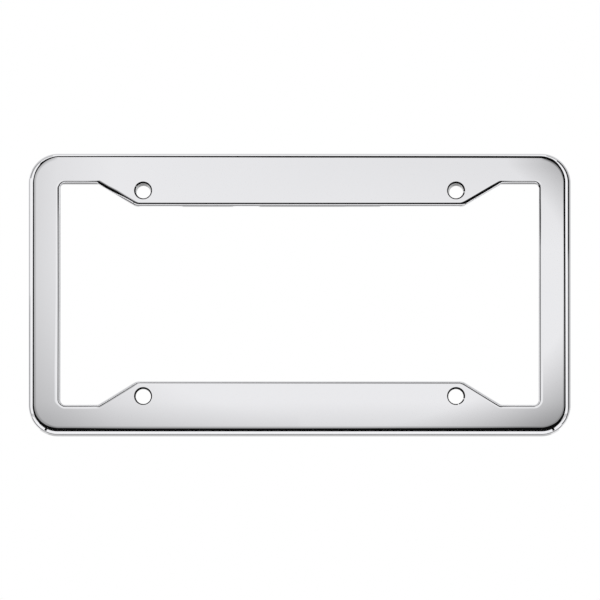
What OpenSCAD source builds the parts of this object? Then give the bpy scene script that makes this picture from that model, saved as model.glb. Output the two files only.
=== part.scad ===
// Number plate holder: a bright-plated frame that covers the edge of a 12 x 6 inch number plate.
// One moulded shell, open at the back. Each bar is a channel: a flat face, a deep skirt outside
// and a shorter lip round the window. The plate lies on the lip, inside the skirt.
// The frame stands upright. The face looks towards -Y, +X is to the right and +Z is up.
// The origin is the middle of the four screw holes, on the back of the face's wall.

/* [Number plate] */
// Width of the number plate
plate_w = 304.8; // [300:0.1:310]
// Height of the number plate
plate_h = 152.4; // [150:0.1:156]
// Play between the plate and the skirt at each side
play_x = 1; // [0.5:0.1:3]
// Play between the plate and the skirt above and below
play_z = 3; // [1:0.05:5]

/* [Shell] */
// Thickness of the wall
wall = 1.6; // [1.2:0.1:1.9]
// Depth of the skirt, from the face to the open back
skirt_depth = 12; // [11.5:0.5:15]
// Radius of the skirt's corners, seen from the front
corner_r = 17; // [14:0.5:22]
// Radius of the shoulder between the face and the skirt
shoulder_r = 4; // [2.5:0.25:5]

/* [Window] */
// Width of the side bars
side_bar = 18.5; // [17:0.25:24]
// Height of the rails at the two tall ends of the window
end_rail = 17.5; // [16.5:0.25:20]
// Height of the top and bottom rails between the ramps
mid_rail = 30.25; // [28.5:0.25:34]
// Distance from each screw hole's centre out to the foot of the ramp beside it
foot_past_hole = 4.5; // [0:0.25:9]
// Slope of the ramps, in degrees whose sine and cosine are all but short decimals
ramp_angle = 30.52; // [25.1, 27.3, 28.45, 29.51, 30.52, 31.89, 33.82, 37.2]
// Radius of the window's corners
window_corner_r = 2.5; // [1.5:0.25:6]
// Radius of the bend at the foot of each ramp, beside the screw hole
ramp_foot_r = 9; // [6:0.5:12]
// Radius of the rolled edge round the window
roll_r = 2; // [1.95:0.05:3]
// Depth of the lip round the window, on which the plate lies
lip_depth = 7; // [4:0.25:9]

/* [Screw holes] */
// Distance from the number plate's side edge to the holes' centres
hole_inset_x = 63.1; // [61:0.1:67]
// Distance from the number plate's top or bottom edge to the holes' centres
hole_inset_z = 17.1; // [14:0.1:18]
// Diameter of the holes
hole_d = 8.6; // [6.5:0.1:9.5]
// Radius of the rounded rim of each hole
rim_r = 0.9; // [0.3:0.1:1.1]
// Wall of the bosses behind the two top holes
boss_wall = 2; // [1.2:0.1:3]

/* [Hidden] */
$fn = 64;

// The skirt stands round the plate
outer_w = plate_w + 2 * (play_x + wall);
outer_h = plate_h + 2 * (play_z + wall);
half_w = outer_w / 2;
half_h = outer_h / 2;

// The holes stand near the number plate's own and are wide enough for 6 mm screws through both
hole_x = plate_w / 2 - hole_inset_x;
hole_z = plate_h / 2 - hole_inset_z;

// Places of the window's edge in one quarter of the frame. The bend above the ramp follows from
// the ramp's foot beside the screw hole, and its place is rounded to a hundredth.
window_x = half_w - side_bar;
window_z = half_h - end_rail;
end_corner_x = window_x - window_corner_r;
end_corner_z = window_z - window_corner_r;
foot_vertex_x = hole_x + foot_past_hole;
top_vertex_x = foot_vertex_x + (mid_rail - end_rail) / tan(ramp_angle);
bend_x = round(100 * (top_vertex_x + window_corner_r * tan(ramp_angle / 2))) / 100;
end_run = end_corner_x - bend_x;

// The ramp joins two bends of ramp_angle and comes down from the end rail to the mid rail
bend_drop = (window_corner_r + ramp_foot_r) * (1 - cos(ramp_angle));
ramp_len = (mid_rail - end_rail - bend_drop) / sin(ramp_angle);

// Width of the flat strip beside each edge, which the face plate overlaps
strip = 2.5;
lap = strip / 2;

// Screw bosses end level with the lip, so that the plate lies on both
boss_r = hole_d / 2 + boss_wall;

// Larger than any radius that a wedge cuts
reach = 40;

// Section of one rolled edge. The outer wall is at x = 0, the metal lies towards +x,
// the face is at y = 0 and the wall goes back to y = -depth.
module edge_section(radius, depth) {
    hollow_r = radius - wall;
    difference() {
        union() {
            quarter_disc(radius, radius);
            translate([0, -depth]) square([radius, depth - radius]);
            translate([radius, -depth]) square([strip, depth]);
        }
        quarter_disc(radius, hollow_r);
        translate([wall, -depth]) square([hollow_r, depth - radius]);
        translate([radius, -depth]) square([strip, depth - wall]);
    }
}

// Upper left quarter of a disc whose centre lies at (inset, -inset)
module quarter_disc(inset, radius) {
    translate([inset, -inset]) intersection() {
        circle(r = radius);
        translate([-radius, 0]) square(radius);
    }
}

// Straight edge along +x from the origin, with the metal towards +y
module edge_run(length, radius, depth) {
    rotate([90, 0, 90]) linear_extrude(length) edge_section(radius, depth);
}

// Wedge between +x and the direction at the given angle, under 90 degrees
module wedge(angle) {
    intersection() {
        translate([0, 0, -reach]) cube([reach, reach, 2 * reach]);
        rotate([0, 0, angle]) translate([0, -reach, -reach]) cube([reach, reach, 2 * reach]);
    }
}

// Bend round the z axis whose metal lies outside the wall at wall_r
module bend_round_opening(wall_r, angle, radius, depth) {
    intersection() {
        rotate_extrude() translate([wall_r, 0]) edge_section(radius, depth);
        wedge(angle);
    }
}

// Bend round the z axis whose metal lies inside the wall at wall_r
module bend_round_metal(wall_r, angle, radius, depth) {
    intersection() {
        rotate_extrude() translate([wall_r, 0]) mirror([1, 0]) edge_section(radius, depth);
        wedge(angle);
    }
}

// One quarter of the skirt: half the top, the corner and half the side
module skirt_quarter() {
    straight_x = half_w - corner_r;
    straight_z = half_h - corner_r;
    translate([straight_x, half_h, 0]) rotate([0, 0, 180]) edge_run(straight_x, shoulder_r, skirt_depth);
    translate([half_w, 0, 0]) rotate([0, 0, 90]) edge_run(straight_z, shoulder_r, skirt_depth);
    translate([straight_x, straight_z, 0]) rotate_extrude(angle = 90)
        translate([corner_r, 0]) mirror([1, 0]) edge_section(shoulder_r, skirt_depth);
}

// One quarter of the lip: up the side bar, round the corner and along to the ramp
module lip_quarter() {
    translate([window_x, end_corner_z, 0]) rotate([0, 0, -90]) edge_run(end_corner_z, roll_r, lip_depth);
    translate([end_corner_x, end_corner_z, 0]) rotate_extrude(angle = 90)
        translate([window_corner_r, 0]) edge_section(roll_r, lip_depth);
    translate([bend_x, window_z, 0]) edge_run(end_run, roll_r, lip_depth);
    translate([bend_x, end_corner_z, 0]) ramp_and_rail();
}

// From the bend above the ramp, whose centre is the origin, down to the middle of the rail
module ramp_and_rail() {
    rotate([0, 0, 90]) bend_round_opening(window_corner_r, ramp_angle, roll_r, lip_depth);
    rotate([0, 0, ramp_angle]) translate([-ramp_len, window_corner_r, 0]) {
        edge_run(ramp_len, roll_r, lip_depth);
        translate([0, ramp_foot_r, 0]) rotate([0, 0, -ramp_angle]) {
            rotate([0, 0, 270]) bend_round_metal(ramp_foot_r, ramp_angle, roll_r, lip_depth);
            translate([-bend_x, -ramp_foot_r, 0]) edge_run(bend_x, roll_r, lip_depth);
        }
    }
}

// Outline of the window in one quarter, grown by the roll and half the flat strip
module grown_window_quarter() {
    grow = roll_r + lap;
    grown_corner_r = window_corner_r + grow;
    vertex_shift = grow * tan(ramp_angle / 2);
    polygon([
        [0, 0],
        [window_x + grow, 0],
        [window_x + grow, end_corner_z],
        [end_corner_x, end_corner_z],
        [end_corner_x, window_z + grow],
        [top_vertex_x - vertex_shift, window_z + grow],
        [foot_vertex_x - vertex_shift, half_h - mid_rail + grow],
        [0, half_h - mid_rail + grow]
    ]);
    translate([end_corner_x, end_corner_z]) intersection() {
        circle(r = grown_corner_r);
        square(grown_corner_r);
    }
}

// Flat plate of the face in one quarter, which ends half way over the flat strips
module face_quarter() {
    inset = shoulder_r + lap;
    round_r = corner_r - inset;
    translate([0, 0, -wall]) linear_extrude(wall) difference() {
        union() {
            square([half_w - corner_r, half_h - inset]);
            square([half_w - inset, half_h - corner_r]);
            translate([half_w - corner_r, half_h - corner_r]) circle(r = round_r);
        }
        grown_window_quarter();
    }
}

// The shell without its holes, one quarter mirrored four ways
module shell() {
    for (flip_x = [0, 1], flip_y = [0, 1]) mirror([flip_x, 0, 0]) mirror([0, flip_y, 0])
        intersection() {
            union() {
                skirt_quarter();
                lip_quarter();
                face_quarter();
            }
            translate([0, 0, -2 * skirt_depth]) cube([outer_w, outer_h, 3 * skirt_depth]);
        }
}

// Boss behind a top hole
module boss() {
    translate([0, 0, -lip_depth]) cylinder(r = boss_r, h = lip_depth - wall / 2);
}

// Screw hole with its rounded rim
module screw_hole() {
    translate([0, 0, -2 * skirt_depth]) cylinder(d = hole_d, h = 3 * skirt_depth);
    rotate_extrude() difference() {
        translate([0, -rim_r]) square([hole_d / 2 + rim_r, 2 * rim_r]);
        translate([hole_d / 2 + rim_r, -rim_r]) circle(r = rim_r);
    }
}

module plate_frame() {
    color("silver") rotate([90, 0, 0]) translate([0, 0, wall]) difference() {
        union() {
            shell();
            for (side = [-1, 1]) translate([side * hole_x, hole_z, 0]) boss();
        }
        for (side = [-1, 1], row = [-1, 1])
            translate([side * hole_x, row * hole_z, 0]) screw_hole();
    }
}

plate_frame();
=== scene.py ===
import math

import bpy
import numpy as np
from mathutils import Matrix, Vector
from mathutils.geometry import tessellate_polygon


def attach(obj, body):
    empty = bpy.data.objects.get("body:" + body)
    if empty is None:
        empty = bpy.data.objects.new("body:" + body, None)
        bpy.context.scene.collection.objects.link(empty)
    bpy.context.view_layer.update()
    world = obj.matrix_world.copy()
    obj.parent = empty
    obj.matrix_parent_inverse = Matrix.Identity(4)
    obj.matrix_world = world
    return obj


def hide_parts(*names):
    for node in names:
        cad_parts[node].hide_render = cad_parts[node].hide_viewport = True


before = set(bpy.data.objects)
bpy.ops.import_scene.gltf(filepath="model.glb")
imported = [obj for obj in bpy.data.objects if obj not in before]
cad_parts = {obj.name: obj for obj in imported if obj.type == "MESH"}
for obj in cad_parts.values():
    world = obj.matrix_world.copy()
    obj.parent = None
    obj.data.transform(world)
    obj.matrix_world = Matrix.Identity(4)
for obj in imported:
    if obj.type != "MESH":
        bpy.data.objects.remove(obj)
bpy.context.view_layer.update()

MM = 0.001

# Sizes of the frame in millimetres, as the solid has them
HALF_W, HALF_H = 155.0, 80.8
WALL = 1.6
SKIRT_DEPTH, LIP_DEPTH = 12.0, 7.0
CORNER_R, SHOULDER_R = 17.0, 4.0
WINDOW_X, END_Z, MID_Z = 136.5, 63.3, 50.55
WINDOW_CORNER_R, RAMP_FOOT_R, ROLL_R = 2.5, 9.0, 2.0
RAMP = math.radians(30.52)
BEND_X = 116.11
HOLE_X, HOLE_Z, HOLE_R, RIM_R = 89.3, 59.1, 4.3, 0.9
BOSS_R = 6.3
FACE_Y = -WALL

# The window's lower edges, which lie a little further down or up than in the solid
LOW_END_Z, LOW_MID_Z = 63.65, 50.25

# Rounds that the solid doesn't have, in millimetres: at the rear edges of the skirt, the lip and the
# bosses, at the rear edge of each bore and at the foot of each boss
BACK_ROUND, BORE_ROUND, BOSS_FOOT_R = 0.3, 0.15, 0.4

# Each hole's rim is a shallow countersink between two small rounds (ease and edge). Its slope is in
# degrees and is steeper above and below by the oval. Its width varies by the spread. The left and the
# right holes have their own lean of the slope (across, up) and their own widest direction.
RIM_SLOPE, RIM_OVAL, RIM_EASE, RIM_EDGE, RIM_SPREAD = 19.3, 4.0, 0.2, 0.12, 0.27
LEFT_RIM = ((-0.5, -4.0), math.radians(130))
RIGHT_RIM = ((6.1, -2.0), math.radians(55))

# The bore through a boss narrows towards the back by the first value on average, and by the second
# value more in the given direction and less in the opposite one
BOSS_DRAFT, DRAFT_WAY = (0.42, 0.38), math.radians(115)

# A rolled edge eases into the face where its tilt is under so many degrees. There its radius grows
# to the given multiple, for the shoulder and for the roll round the window.
EASE_TILT, EASE_POWER = 9, 1.5
SHOULDER_SOFT, ROLL_SOFT = 3.2, 4.5

# Bands of tilt in degrees, in which each side of the window's roll has its own radii
TOP_BANDS = ((12, 37), (39, 62), (64, 80))
LOW_BANDS = ((18, 38), (39, 60), (61, 86))
LEFT_BANDS = ((15, 26), (28, 60))
RIGHT_BANDS = ((20, 31), (33, 80))

# Where the stretches of the window's roll blend, in millimetres: on both sides of the bend above a
# ramp, along the upper left ramp, up the right side, up the left side, and down both sides. A ramp is
# told from a rail by the sideways part of the direction into the metal.
BEND_BLEND = 3
FAR_BLEND, RIGHT_BLEND, LEFT_BLEND, DOWN_BLEND = (100, 109), (26, 54), (42, 54), (0, 45)
SLANT_BLEND = (0.1, 0.45)

# Steps of a rolled edge's mesh, finer steps inside each of them, and the degrees over which a band of
# tilt begins and ends
CURVE_STEPS, FINE_STEPS, BAND_BLUR = 30, 8, 3

# Steps of the arcs, rows of points on small and on larger rounds, points round a hole, and the longest
# straight pieces of the outer loop and of the window's loop
CORNER_STEPS, WINDOW_CORNER_STEPS, BEND_STEPS, FOOT_STEPS = 56, 28, 12, 14
FEW_ROWS, MORE_ROWS = 5, 9
HOLE_SIDES = 96
OUTER_STEP, WINDOW_STEP = 14.0, 6.0

# Points nearer than this are one point
SAME_POINT = 1e-6

# Material slots of the shell
BRIGHT, INSIDE = 0, 1


def share(value, start, stop):
    """0 up to start, 1 from stop on, and evenly from 0 to 1 between them."""
    return np.clip((value - start) / (stop - start), 0, 1)


# Outlines
def arc(cx, cz, r, start, stop, count):
    """Points and outward directions on an arc, both ends included."""
    angle = np.linspace(start, stop, count + 1)
    out = np.stack([np.cos(angle), np.sin(angle)], 1)
    return np.stack([cx + r * out[:, 0], cz + r * out[:, 1]], 1), out


def four_ways(points, into):
    """A closed loop, counter-clockwise, from its quarter between the +x side and the +z side."""
    flip_x, flip_z = np.array([-1, 1]), np.array([1, -1])
    quarters = [
        (points, into),
        (points[::-1] * flip_x, into[::-1] * flip_x),
        (points * -1, into * -1),
        (points[::-1] * flip_z, into[::-1] * flip_z),
    ]
    points = np.concatenate([quarter for quarter, _ in quarters])
    into = np.concatenate([ways for _, ways in quarters])
    keep = np.linalg.norm(points - np.roll(points, 1, 0), axis=1) > SAME_POINT
    return points[keep], into[keep]


def split(points, into, longest):
    """More points on the long straights of a loop."""
    more_points, more_into = [], []
    for i in range(len(points)):
        k = (i + 1) % len(points)
        count = max(1, int(math.ceil(np.linalg.norm(points[k] - points[i]) / longest)))
        for part in range(count):
            f = part / count
            way = into[i] * (1 - f) + into[k] * f
            more_points.append(points[i] * (1 - f) + points[k] * f)
            more_into.append(way / np.linalg.norm(way))
    return np.array(more_points), np.array(more_into)


def outer_loop():
    """The skirt's edge. The direction points inwards, into the metal."""
    points, out = arc(HALF_W - CORNER_R, HALF_H - CORNER_R, CORNER_R, 0, math.pi / 2, CORNER_STEPS)
    points, into = four_ways(points, -out)
    return split(points, into, OUTER_STEP)


def window_loop():
    """The window's edge. The direction points away from the window, into the metal."""
    corner_x, corner_z = WINDOW_X - WINDOW_CORNER_R, END_Z - WINDOW_CORNER_R
    up = math.pi / 2
    corner, corner_into = arc(corner_x, corner_z, WINDOW_CORNER_R, 0, up, WINDOW_CORNER_STEPS)
    bend, bend_into = arc(BEND_X, corner_z, WINDOW_CORNER_R, up, up + RAMP, BEND_STEPS)
    drop = (WINDOW_CORNER_R + RAMP_FOOT_R) * (1 - math.cos(RAMP))
    length = (END_Z - MID_Z - drop) / math.sin(RAMP)
    ramp_end = bend[-1] + length * np.array([-math.cos(RAMP), -math.sin(RAMP)])
    middle = ramp_end + RAMP_FOOT_R * bend_into[-1]
    foot, foot_out = arc(middle[0], middle[1], RAMP_FOOT_R, RAMP - up, -up, FOOT_STEPS)
    points = np.concatenate([corner, bend, foot])
    into = np.concatenate([corner_into, bend_into, -foot_out])
    points, into = four_ways(points, into)
    low = points[:, 1] < 0
    points[low, 1] = -np.interp(-points[low, 1], [0, MID_Z, END_Z], [0, LOW_MID_Z, LOW_END_Z])
    return split(points, into, WINDOW_STEP)


# Sections
def edge_curve(depth, soft, bends=()):
    """Front of a rolled edge from its wall to the flat face, as (inset, depth, tilt of the normal).
    The curve is round, and eases into the face at small tilts, where its radius grows to soft times.
    Each bend (low, high, factor) multiplies the radius between two tilts. The depth and the factors
    are single numbers or have one value for each column."""
    tilt = np.linspace(90, 0, CURVE_STEPS * FINE_STEPS + 1)[:, None]
    mid = (tilt[1:] + tilt[:-1]) / 2
    radius = 1 + (soft - 1) * np.clip(1 - mid / EASE_TILT, 0, 1) ** EASE_POWER
    half = BAND_BLUR / 2
    for low, high, factor in bends:
        inside = share(mid, low - half, low + half) * (1 - share(mid, high - half, high + half))
        radius = radius * (1 + (np.atleast_1d(factor)[None] - 1) * inside)
    step = np.radians(90 / (CURVE_STEPS * FINE_STEPS))
    start = np.zeros((1, radius.shape[1]))
    inset = np.concatenate([start, np.cumsum(radius * np.cos(np.radians(mid)) * step, axis=0)])
    rise = np.concatenate([start, np.cumsum(radius * np.sin(np.radians(mid)) * step, axis=0)])
    scale = depth / rise[-1]
    keep = slice(None, None, FINE_STEPS)
    return (inset * scale)[keep], (depth - rise * scale)[keep], np.radians(tilt)[keep, 0]


def rounding(inset, depth, radius, start, stop, count=FEW_ROWS):
    """Rows of (inset, depth, normal's inset part, normal's depth part) on an arc round the given centre,
    between two directions in degrees. A hollow arc has a radius below 0."""
    rows = []
    for angle in np.radians(np.linspace(start, stop, count)):
        c, s = math.cos(angle), math.sin(angle)
        rows.append((inset + radius * c, depth + radius * s, c, s))
    return rows


def edge_section(radius, depth, curve):
    """Section of one rolled edge from the underside of the face, round the rim and up to the front,
    as rows like those of a rounding, and the row where the front starts."""
    b = BACK_ROUND
    rows = rounding(radius, radius, WALL - radius, 90, 0, MORE_ROWS)
    rows += rounding(WALL - b, depth - b, b, 0, 90)
    rows += rounding(b, depth - b, b, 90, 180)
    front = len(rows) - 1
    insets, depths, tilts = curve
    columns = insets.shape[1]
    rows = [[row] * columns for row in rows]
    for inset, deep, tilt in zip(insets, depths, tilts):
        rows.append([(x, y, -math.sin(tilt), -math.cos(tilt)) for x, y in zip(inset, deep)])
    return np.array(rows), front


def roll_shape(points, into):
    """Depth and bends of the roll round the window for each point of the loop. Each stretch of the roll
    departs from a round one in its own way, as (weight, depth scale, bands, factors), and the stretches
    blend where the loop turns."""
    x, z = points[:, 0], points[:, 1]
    right = x > 0
    end = share(np.abs(x), BEND_X - BEND_BLEND, BEND_X + BEND_BLEND)
    slant = share(np.abs(into[:, 0]), *SLANT_BLEND) * (1 - end)
    far = share(np.abs(x), *FAR_BLEND)
    top = np.clip(into[:, 1], 0, 1) ** 4
    low = np.clip(-into[:, 1], 0, 1) ** 4
    side = np.abs(into[:, 0]) ** 6
    high = np.where(right, share(z, *RIGHT_BLEND), share(z, *LEFT_BLEND))
    deep = share(-z, *DOWN_BLEND)
    upper, lower = into[:, 1] > 0, into[:, 1] < 0
    middle = side * (1 - high) * (1 - deep)
    stretches = (
        (top * (1 - end) * (1 - slant), 1.23, TOP_BANDS, (1.18, 0.82, 2.60)),
        (top * end, 1.40, TOP_BANDS, (0.54, 1.07, 5.04)),
        (slant * upper * right, 0.86, TOP_BANDS, (2.70, 0.90, 0.95)),
        (slant * upper * ~right * far, 0.60, TOP_BANDS, (6.20, 0.48, 0.30)),
        (slant * upper * ~right * (1 - far), 1.70, TOP_BANDS, (0.88, 0.69, 3.31)),
        (low * (1 - end) * (1 - slant), 0.94, LOW_BANDS, (1.56, 1.93, 0.90)),
        (low * end * ~right, 1.20, LOW_BANDS, (1.80, 1.00, 1.50)),
        (low * end * right, 1.20, LOW_BANDS, (0.70, 1.00, 1.50)),
        (slant * lower * ~right, 1.70, LOW_BANDS, (0.87, 1.00, 2.17)),
        (slant * lower * right, 1.70, LOW_BANDS, (0.57, 1.11, 2.56)),
        (middle * ~right, 1.09, LEFT_BANDS, (2.25, 0.62)),
        (side * ~right * high, 0.94, LEFT_BANDS, (3.80, 0.62)),
        (side * ~right * deep, 1.45, LEFT_BANDS, (1.21, 0.35)),
        (middle * right, 0.68, RIGHT_BANDS, (2.90, 0.42)),
        (side * right * high, 0.385, RIGHT_BANDS, (30.0, 0.15)),
        (side * right * deep, 0.87, RIGHT_BANDS, (1.25, 0.42)),
    )
    depth = ROLL_R * np.prod([scale ** weight for weight, scale, _, _ in stretches], axis=0)
    bends = []
    for group in (TOP_BANDS, LOW_BANDS, LEFT_BANDS, RIGHT_BANDS):
        mine = [(weight, factors) for weight, _, bands, factors in stretches if bands is group]
        for k, (low_tilt, high_tilt) in enumerate(group):
            factor = np.prod([factors[k] ** weight for weight, factors in mine], axis=0)
            bends.append((low_tilt, high_tilt, factor))
    return depth, bends


def hole_rows(end, rim, draft=(0.0, 0.0)):
    """Front rim and bore of a hole down to the given depth, narrowed by the draft and ending in a
    rounded edge, and the row where the bore starts."""
    lean, wide = rim
    around = np.linspace(0, 2 * math.pi, HOLE_SIDES, endpoint=False)
    across, up = np.cos(around), np.sin(around)
    slope = np.radians(RIM_SLOPE + RIM_OVAL * up ** 2 + lean[0] * across + lean[1] * up)
    outer = HOLE_R + RIM_R * (1 + RIM_SPREAD * np.cos(around - wide))
    rows = []
    for f in np.linspace(0, 1, FEW_ROWS):
        a = slope * f
        rows.append((outer - RIM_EASE * np.sin(a), RIM_EASE * (1 - np.cos(a)), -np.sin(a), -np.cos(a)))
    cone = rows[-1][0] - HOLE_R - RIM_EDGE * (1 - np.sin(slope))
    depth = rows[-1][1] + cone * np.tan(slope)
    for f in np.linspace(0, 1, MORE_ROWS):
        a = slope + (math.pi / 2 - slope) * f
        rows.append((
            HOLE_R + RIM_EDGE * (1 - np.sin(a)),
            depth + RIM_EDGE * (np.cos(slope) - np.cos(a)),
            -np.sin(a),
            -np.cos(a),
        ))
    bore = len(rows) - 1
    narrow = HOLE_R - draft[0] - draft[1] * np.cos(around - DRAFT_WAY)
    rows += rounding(narrow + BORE_ROUND, end - BORE_ROUND, BORE_ROUND, 180, 90)
    columns = [np.broadcast_arrays(*row, around)[:4] for row in rows]
    return np.array([np.stack(column, 1) for column in columns]), bore


def boss_rows():
    """Outside of a boss from its rear edge to the underside of the face."""
    b, foot = BACK_ROUND, BOSS_FOOT_R
    rows = rounding(BOSS_R - b, LIP_DEPTH - b, b, 90, 0)
    rows += rounding(BOSS_R + foot, WALL + foot, -foot, 0, 90)
    return np.repeat(np.array(rows)[:, None, :], HOLE_SIDES, axis=1)


# The shell's mesh
class Shell:
    """Points in millimetres with their normals, and faces with their material slots."""

    def __init__(self):
        self.points, self.normals, self.faces, self.slots = [], [], [], []

    def add(self, points, normals):
        start = len(self.points)
        self.points.extend(points)
        self.normals.extend(normals)
        return list(range(start, len(self.points)))

    def face(self, indices, slot):
        """Turned so that it looks the way its normals do."""
        a, b, c = (np.array(self.points[i]) for i in indices[:3])
        normal = np.cross(b - a, c - a)
        if len(indices) == 4:
            normal = normal + np.cross(c - a, np.array(self.points[indices[3]]) - a)
        if float(np.dot(normal, np.sum([self.normals[i] for i in indices], axis=0))) < 0:
            indices = indices[::-1]
        self.faces.append(tuple(indices))
        self.slots.append(slot)

    def sweep(self, loop, into, rows, front, back=None):
        """Sweeps a section round a loop and returns the index rings of its first and last row.
        The section is the same for the whole loop or has one column for each point. It is bright from
        the row front on, up to the row back if that is given, and as dull as the inside elsewhere."""
        rings = []
        count = len(loop)
        for row in rows:
            row = np.broadcast_to(row, (count, 4))
            spots = zip(loop, into, row)
            points = [(p[0] + r[0] * d[0], FACE_Y + r[1], p[1] + r[0] * d[1]) for p, d, r in spots]
            normals = [(r[2] * d[0], r[3], r[2] * d[1]) for d, r in zip(into, row)]
            rings.append(self.add(points, normals))
        for j in range(len(rings) - 1):
            slot = BRIGHT if front <= j and (back is None or j < back) else INSIDE
            for i in range(count):
                k = (i + 1) % count
                self.face((rings[j][i], rings[j][k], rings[j + 1][k], rings[j + 1][i]), slot)
        return rings[0], rings[-1]

    def turned(self, cx, cz, rows, front, back):
        """A surface turned round a hole's axis, whose rows have radii in place of insets."""
        angle = np.linspace(0, 2 * math.pi, HOLE_SIDES, endpoint=False)
        middles = np.repeat([[cx, cz]], HOLE_SIDES, axis=0)
        out = np.stack([np.cos(angle), np.sin(angle)], 1)
        return self.sweep(middles, out, rows, front, back)

    def fill(self, rings, slot):
        """Flat region inside the first ring and outside the rest."""
        loops = [[Vector((self.points[i][0], self.points[i][2], 0)) for i in ring] for ring in rings]
        indices = [i for ring in rings for i in ring]
        for triangle in tessellate_polygon(loops):
            self.face(tuple(indices[i] for i in triangle), slot)

    def mesh(self, name):
        mesh = bpy.data.meshes.new(name)
        mesh.from_pydata([tuple(c * MM for c in point) for point in self.points], [], self.faces)
        mesh.polygons.foreach_set("material_index", self.slots)
        mesh.polygons.foreach_set("use_smooth", [True] * len(self.faces))
        mesh.validate(clean_customdata=False)
        normals = np.array(self.normals, float)
        normals /= np.linalg.norm(normals, axis=1)[:, None]
        mesh.normals_split_custom_set_from_vertices([tuple(normal) for normal in normals])
        mesh.update()
        return mesh


def build_shell(name):
    surface = Shell()
    points, into = outer_loop()
    rows, front = edge_section(SHOULDER_R, SKIRT_DEPTH, edge_curve(SHOULDER_R, SHOULDER_SOFT))
    outer_under, outer_face = surface.sweep(points, into, rows, front)
    points, into = window_loop()
    depth, bends = roll_shape(points, into)
    rows, front = edge_section(ROLL_R, LIP_DEPTH, edge_curve(depth, ROLL_SOFT, bends))
    window_under, window_face = surface.sweep(points, into, rows, front)

    face_rings, under_rings = [outer_face, window_face], [outer_under, window_under]
    for side, rim in ((-1, LEFT_RIM), (1, RIGHT_RIM)):
        plain, bore = hole_rows(WALL, rim)
        deep, _ = hole_rows(LIP_DEPTH, rim, BOSS_DRAFT)
        for z, rows in ((-HOLE_Z, plain), (HOLE_Z, np.concatenate([deep, boss_rows()]))):
            first, last = surface.turned(side * HOLE_X, z, rows, 0, bore)
            face_rings.append(first)
            under_rings.append(last)
    surface.fill(face_rings, BRIGHT)
    surface.fill(under_rings, INSIDE)
    return surface.mesh(name)


# Materials
def material(name):
    """A new material with its nodes, links and main shader."""
    mat = bpy.data.materials.new(name)
    mat.use_nodes = True
    return mat, mat.node_tree.nodes, mat.node_tree.links, mat.node_tree.nodes["Principled BSDF"]


def mixed(tree, factor, first, second):
    """A colour that goes from the first to the second one with the factor. The colour sockets of a Mix
    node are known by their numbers."""
    node = tree.nodes.new("ShaderNodeMix")
    node.data_type = "RGBA"
    tree.links.new(factor, node.inputs[0])
    for socket, color in ((6, first), (7, second)):
        node.inputs[socket].default_value = (*color, 1)
    return node.outputs[2]


def chrome(name, color, rough_low, rough_high, bump, scale):
    """Bright plating with faint changes in gloss and a fine unevenness that its reflections show."""
    mat, nodes, links, bsdf = material(name)
    bsdf.inputs["Metallic"].default_value = 1.0
    coord = nodes.new("ShaderNodeTexCoord")
    wide = nodes.new("ShaderNodeTexNoise")
    wide.inputs["Scale"].default_value = 22.0
    wide.inputs["Detail"].default_value = 3.0
    links.new(coord.outputs["Object"], wide.inputs["Vector"])
    darker = [c * 0.985 for c in color]
    links.new(mixed(mat.node_tree, wide.outputs["Fac"], darker, color), bsdf.inputs["Base Color"])
    rough = nodes.new("ShaderNodeMapRange")
    rough.inputs["From Min"].default_value = 0.35
    rough.inputs["From Max"].default_value = 0.7
    rough.inputs["To Min"].default_value = rough_low
    rough.inputs["To Max"].default_value = rough_high
    links.new(wide.outputs["Fac"], rough.inputs["Value"])
    links.new(rough.outputs["Result"], bsdf.inputs["Roughness"])
    peel = nodes.new("ShaderNodeTexNoise")
    peel.inputs["Scale"].default_value = scale
    peel.inputs["Detail"].default_value = 2.0
    links.new(coord.outputs["Object"], peel.inputs["Vector"])
    bumped = nodes.new("ShaderNodeBump")
    bumped.inputs["Strength"].default_value = bump
    bumped.inputs["Distance"].default_value = 0.00002
    links.new(peel.outputs["Fac"], bumped.inputs["Height"])
    links.new(bumped.outputs["Normal"], bsdf.inputs["Normal"])
    return mat


def pale_floor():
    mat, nodes, links, bsdf = material("pale_floor")
    grain = nodes.new("ShaderNodeTexNoise")
    grain.inputs["Scale"].default_value = 30.0
    pale = mixed(mat.node_tree, grain.outputs["Fac"], (0.80, 0.80, 0.80), (0.82, 0.82, 0.82))
    links.new(pale, bsdf.inputs["Base Color"])
    bsdf.inputs["Roughness"].default_value = 0.8
    return mat


bright = chrome("bright_chrome", (0.893, 0.893, 0.914), 0.02, 0.04, 0.05, 60.0)
inside = chrome("inside_plating", (0.46, 0.465, 0.47), 0.24, 0.36, 0.6, 420.0)

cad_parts["plate_frame"].data.materials.clear()
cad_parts["plate_frame"].data.materials.append(bright)

shell = bpy.data.objects.new("plate_frame_shell", build_shell("plate_frame_shell"))
bpy.context.scene.collection.objects.link(shell)
shell.data.materials.append(bright)
shell.data.materials.append(inside)
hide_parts("plate_frame")
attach(shell, "root")

# Studio, in metres: how far the cards in front, behind and at the sides stand, the floor, the cards
# overhead and half the floor's width, the cards over the floor, half the width of the wide cards, the
# lower end of the side cards, and both ends of the narrow cards behind
FRONT, BACK, SIDE = -0.5, 2.5, 0.8
FLOOR_Z, CEILING_Z, FLOOR_HALF = -0.62, 1.0, 2.5
LOW_Z = FLOOR_Z + 0.01
WIDE, SIDE_LOW_Z = 1.6, -0.6
STRIP_LOW, STRIP_HIGH = -0.29, -0.15

# The softbox's brightest level. Its corner fades and its top fade grow no more past the limit in x,
# nor past the low and the high limit in z.
BOX_LEVEL = 0.925
FADE_LIMIT_X, FADE_LOW_Z, FADE_HIGH_Z = 0.165, -0.03, 0.128

# Half the width of the ellipses that the corner fades follow
ELLIPSE_X = 0.2

# Where the slight fade at the top starts to the right and upwards, and how strong it is
TOP_FADE_X, TOP_FADE_Z, TOP_FADE = -0.14, 0.08, 6.3

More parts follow.
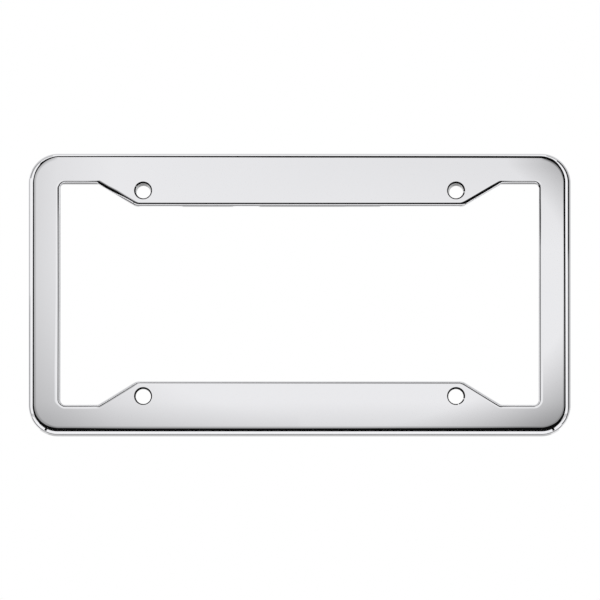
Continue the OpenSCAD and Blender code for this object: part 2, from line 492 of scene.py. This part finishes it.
# Past this distance to the right or left, the fades downwards start lower by so much for each metre
DROP_X, DROP = 0.155, 3.0


def plane(name, corners, mat):
    mesh = bpy.data.meshes.new(name)
    mesh.from_pydata([tuple(c) for c in corners], [], [tuple(range(len(corners)))])
    obj = bpy.data.objects.new(name, mesh)
    mesh.materials.append(mat)
    bpy.context.scene.collection.objects.link(obj)
    return obj


def only_in_reflections(obj):
    obj.visible_camera = False
    obj.visible_diffuse = False
    obj.visible_shadow = False
    obj.visible_transmission = False


def card(name, strength):
    """Material of a card that the metal mirrors, with one even light level."""
    mat = bpy.data.materials.new(name)
    mat.use_nodes = True
    nodes, links = mat.node_tree.nodes, mat.node_tree.links
    nodes.clear()
    out = nodes.new("ShaderNodeOutputMaterial")
    emit = nodes.new("ShaderNodeEmission")
    emit.inputs["Strength"].default_value = strength
    links.new(emit.outputs[0], out.inputs[0])
    return mat


def math_node(tree, kind, a, b=None, c=None):
    """Result of a math node whose inputs are sockets or numbers."""
    node = tree.nodes.new("ShaderNodeMath")
    node.operation = kind
    for i, value in enumerate((a, b, c)):
        if value is None:
            continue
        if hasattr(value, "is_linked"):
            tree.links.new(value, node.inputs[i])
        else:
            node.inputs[i].default_value = value
    return node.outputs[0]


def fade(tree, value, start, stop, to):
    """1 at start, and evenly down to the given share at stop."""
    node = tree.nodes.new("ShaderNodeMapRange")
    tree.links.new(value, node.inputs["Value"])
    node.inputs["From Min"].default_value = start
    node.inputs["From Max"].default_value = stop
    node.inputs["To Min"].default_value = 1.0
    node.inputs["To Max"].default_value = to
    return node.outputs["Result"]


def corner_fade(tree, x, z, middle_z, half_z, start, slope, most):
    """Fade towards one corner of the softbox, where x is above 0. It follows the squared distance from
    the middle, measured by an ellipse, from the given start on with the given slope, and no further
    than start + most. A lower corner has a half_z below 0."""
    across = math_node(tree, "DIVIDE", math_node(tree, "MINIMUM", x, FADE_LIMIT_X), ELLIPSE_X)
    up = math_node(tree, "DIVIDE", math_node(tree, "SUBTRACT", z, middle_z), half_z)
    up = math_node(tree, "MAXIMUM", up, 0.0)
    far = math_node(tree, "MULTIPLY_ADD", up, up, math_node(tree, "MULTIPLY", across, across))
    past = math_node(tree, "MAXIMUM", math_node(tree, "SUBTRACT", far, start), 0.0)
    past = math_node(tree, "MINIMUM", past, most)
    past = math_node(tree, "MULTIPLY", past, slope)
    this_side = math_node(tree, "GREATER_THAN", x, 0.0)
    return math_node(tree, "SUBTRACT", 1.0, math_node(tree, "MULTIPLY", past, this_side))


def top_fade(tree, x, z):
    """Slight fade upwards that grows towards the right."""
    across = math_node(tree, "MINIMUM", x, FADE_LIMIT_X)
    across = math_node(tree, "MAXIMUM", math_node(tree, "SUBTRACT", across, TOP_FADE_X), 0.0)
    up = math_node(tree, "MAXIMUM", math_node(tree, "SUBTRACT", z, TOP_FADE_Z), 0.0)
    loss = math_node(tree, "MULTIPLY", math_node(tree, "MULTIPLY", across, up), TOP_FADE)
    return math_node(tree, "SUBTRACT", 1.0, loss)


def softbox(name):
    """Front light with an even middle, which fades to the left, downwards and in three corners, and
    slightly towards the upper right."""
    mat = card(name, 1.0)
    tree = mat.node_tree
    emit = next(node for node in tree.nodes if node.type == "EMISSION")
    place = tree.nodes.new("ShaderNodeNewGeometry")
    xyz = tree.nodes.new("ShaderNodeSeparateXYZ")
    tree.links.new(place.outputs["Position"], xyz.inputs[0])
    x, height = xyz.outputs["X"], xyz.outputs["Z"]
    left = math_node(tree, "MULTIPLY", x, -1.0)
    z = math_node(tree, "MINIMUM", math_node(tree, "MAXIMUM", height, FADE_LOW_Z), FADE_HIGH_Z)
    aside = math_node(tree, "SUBTRACT", math_node(tree, "ABSOLUTE", x), DROP_X)
    down = math_node(tree, "MULTIPLY_ADD", math_node(tree, "MAXIMUM", aside, 0.0), DROP, height)
    level = fade(tree, x, -0.105, -0.21, 0.71)
    for shade in (
        fade(tree, x, -0.21, -0.35, 0.78),
        fade(tree, down, -0.008, -0.034, 0.74),
        fade(tree, down, -0.04, -0.26, 0.0),
        top_fade(tree, x, z),
        corner_fade(tree, x, z, 0.07, 0.12, 0.584, 2.06, 0.40),
        corner_fade(tree, x, z, 0.073, -0.12, 0.68, 1.28, 0.465),
        corner_fade(tree, left, z, 0.09, -0.15, 0.48, 0.58, 1.0),
    ):
        level = math_node(tree, "MULTIPLY", level, shade)
    level = math_node(tree, "MULTIPLY", level, BOX_LEVEL)
    tree.links.new(level, emit.inputs["Strength"])
    return mat


# Corners of the cards, from their limits or from an outline
def upright(x0, x1, z0, z1, y):
    return [(x0, y, z0), (x1, y, z0), (x1, y, z1), (x0, y, z1)]


def behind(x0, x1):
    return upright(x0, x1, STRIP_LOW, STRIP_HIGH, BACK)


def flat(y0, y1, z, x0=-WIDE, x1=WIDE):
    return [(x0, y0, z), (x1, y0, z), (x1, y1, z), (x0, y1, z)]


def side_card(x, y0, y1, z0=SIDE_LOW_Z, z1=CEILING_Z):
    return [(x, y0, z0), (x, y1, z0), (x, y1, z1), (x, y0, z1)]


def standing(outline, y):
    return [(x, y, z) for x, z in outline]


def lying(outline, z):
    return [(x, y, z) for x, y in outline]


def beside(outline, x):
    return [(x, y, z) for y, z in outline]


BOX_OUTLINE = [
    (-0.36, 0.0), (-0.35, -0.11), (-0.28, -0.15), (-0.20, -0.135), (-0.15, -0.125), (-0.126, -0.14),
    (-0.09, -0.235), (0.0, -0.21), (0.0914, -0.14), (0.126, -0.106), (0.16, -0.09), (0.215, -0.09),
    (0.24, -0.06), (0.23, 0.0), (0.186, 0.109), (0.192, 0.135), (0.208, 0.165), (0.212, 0.19),
    (0.203, 0.225), (0.185, 0.29), (0.126, 0.47), (0.0, 0.60), (-0.12, 0.79), (-0.20, 0.75),
    (-0.31, 0.38), (-0.335, 0.25), (-0.33, 0.12),
]
DARK_OUTLINE = [
    (-0.80, LOW_Z), (0.70, LOW_Z), (0.68, -0.45), (0.56, -0.19), (0.451, 0.0), (0.384, 0.109),
    (0.41, 0.28), (0.45, 0.43), (0.49, 0.56), (0.56, 0.88), (0.58, CEILING_Z), (-0.86, CEILING_Z),
    (-0.62, 0.61), (-0.58, 0.38), (-0.52, 0.22), (-0.60, 0.109), (-0.70, 0.0), (-0.75, -0.19),
    (-0.86, -0.36),
]
FLOOR_FLAG_OUTLINE = [
    (-0.80, FRONT), (0.70, FRONT), (0.66, -0.46), (0.50, -0.30), (0.30, -0.238), (-0.30, -0.238),
    (-0.50, -0.27), (-0.79, -0.41),
]
CEILING_FLAG_OUTLINE = [
    (-0.86, FRONT), (0.58, FRONT), (0.37, -0.38), (0.25, -0.28), (0.138, -0.205), (0.11, -0.155),
    (-0.10, -0.155), (-0.138, -0.215), (-0.36, -0.36), (-0.61, -0.43), (-0.86, -0.48),
]
RIGHT_GAP_OUTLINE = [
    (-0.24, 0.095), (-0.21, -0.03), (-0.10, -0.17), (0.04, -0.36), (0.06, -0.60), (0.40, -0.60),
    (0.36, -0.36), (0.13, -0.17), (0.08, 0.0), (0.07, 0.095),
]
RIGHT_TOP_OUTLINE = [
    (-0.27, 0.095), (-0.28, 0.45), (-0.34, 0.80), (-0.34, CEILING_Z), (0.13, CEILING_Z), (0.13, 0.80),
    (0.10, 0.45), (0.09, 0.095),
]

# The softbox stands in front of the object, before a dark frame that goes on overhead and over the
# floor. Outside the frame the studio is white, with pale, grey and dark cards beside, above, below and
# behind the object. Where cards of different tones overlap, they lie 2 to 4 millimetres apart.
black = card("black_flag", 0.004)
for name, corners, light in (
    ("front_softbox", standing(BOX_OUTLINE, FRONT), softbox("front_softbox")),
    ("dark_frame", standing(DARK_OUTLINE, FRONT - 0.002), black),
    ("flag_floor", lying(FLOOR_FLAG_OUTLINE, LOW_Z), black),
    ("flag_above", lying(CEILING_FLAG_OUTLINE, CEILING_Z), black),
    ("leg_left", flat(-0.30, 0.25, LOW_Z, -0.475, -0.41), black),
    ("leg_right", flat(-0.30, 0.25, LOW_Z, 0.41, 0.475), black),
    ("gap_right", beside(RIGHT_GAP_OUTLINE, SIDE - 0.002), card("dark_gap", 0.10)),
    ("gap_right_up", beside(RIGHT_TOP_OUTLINE, SIDE - 0.002), card("dark_gap_up", 0.01)),
    ("flag_above_right", flat(-0.36, 0.12, CEILING_Z - 0.004, 0.72, SIDE), black),
    ("grey_right", side_card(SIDE, 0.065, 0.39, -0.27), 0.51),
    ("pale_right", side_card(SIDE, 0.39, 1.3), 0.72),
    ("grey_left_low", side_card(-SIDE, 0.02, 0.50, -0.27, 0.07), 0.42),
    ("grey_left", side_card(-SIDE, 0.09, 0.50, 0.07, 0.25), 0.55),
    ("grey_left_up", side_card(-SIDE, -0.16, 0.32, 0.25), 0.38),
    ("grey_above", flat(0.2, 1.6, CEILING_Z), 0.75),
    ("grey_above_left", flat(-0.08, 0.30, CEILING_Z - 0.002, -SIDE, -0.30), 0.5),
    ("grey_above_right", flat(-0.08, 0.30, CEILING_Z - 0.002, 0.30, SIDE), 0.45),
    ("white_below", flat(FRONT, 0.42, LOW_Z - 0.003), 1.0),
    ("dark_below", flat(0.42, 0.93, LOW_Z), 0.12),
    ("grey_below", flat(0.93, BACK, LOW_Z), 0.62),
    ("grey_behind", upright(-WIDE, WIDE, LOW_Z, STRIP_LOW, BACK), 0.54),
    ("grey_behind_middle", behind(-0.023, 0.026), 0.45),
    ("grey_behind_near_left", behind(-0.067, -0.038), 0.55),
    ("grey_behind_near_right", behind(0.026, 0.046), 0.57),
    ("pale_behind_left", behind(-0.5, -0.1), 0.72),
    ("pale_behind_right", behind(0.1, 0.5), 0.78),
):
    mat = card(name, light) if isinstance(light, float) else light
    only_in_reflections(plane(name, corners, mat))
plane("floor", flat(-FLOOR_HALF, FLOOR_HALF, FLOOR_Z, -FLOOR_HALF, FLOOR_HALF), pale_floor())


def studio_world():
    """White where the camera or the metal sees it, and a little darker as a light on the object."""
    world = bpy.data.worlds.new("studio")
    bpy.context.scene.world = world
    world.use_nodes = True
    tree = world.node_tree
    background = tree.nodes["Background"]
    background.inputs["Color"].default_value = (1, 1, 1, 1)
    path = tree.nodes.new("ShaderNodeLightPath")
    seen = math_node(tree, "MAXIMUM", path.outputs["Is Camera Ray"], path.outputs["Is Glossy Ray"])
    seen = math_node(tree, "MAXIMUM", seen, path.outputs["Is Transmission Ray"])
    level = tree.nodes.new("ShaderNodeMapRange")
    tree.links.new(seen, level.inputs["Value"])
    level.inputs["To Min"].default_value = 0.75
    level.inputs["To Max"].default_value = 1.0
    tree.links.new(level.outputs["Result"], background.inputs["Strength"])


def key_light():
    """Soft light from the upper left, which the metal doesn't mirror."""
    data = bpy.data.lights.new("key", "AREA")
    data.shape = "RECTANGLE"
    data.size, data.size_y = 1.2, 1.2
    data.energy = 6.0
    key = bpy.data.objects.new("key", data)
    key.location = (-0.5, -0.6, 1.4)
    key.rotation_euler = (-key.location).to_track_quat("-Z", "Y").to_euler()
    key.visible_glossy = False
    bpy.context.scene.collection.objects.link(key)


studio_world()
key_light()

# Camera, which looks up at the object from a little below its middle. The width of the picture, the
# distance and the point that it looks at are in metres.
PITCH, PICTURE_W, DISTANCE = math.radians(6.24), 0.34286, 1.2
TARGET = Vector((0.00023, FACE_Y * MM, -0.0037))


def set_camera():
    data = bpy.data.cameras.new("camera")
    data.type = "ORTHO"
    data.ortho_scale = PICTURE_W
    camera = bpy.data.objects.new("camera", data)
    bpy.context.scene.collection.objects.link(camera)
    away = Vector((0.0, -math.cos(PITCH), -math.sin(PITCH)))
    camera.location = TARGET + away * DISTANCE
    camera.rotation_euler = (-away).to_track_quat("-Z", "Y").to_euler()
    bpy.context.scene.camera = camera


set_camera()
bpy.context.scene.view_settings.view_transform = "Standard"
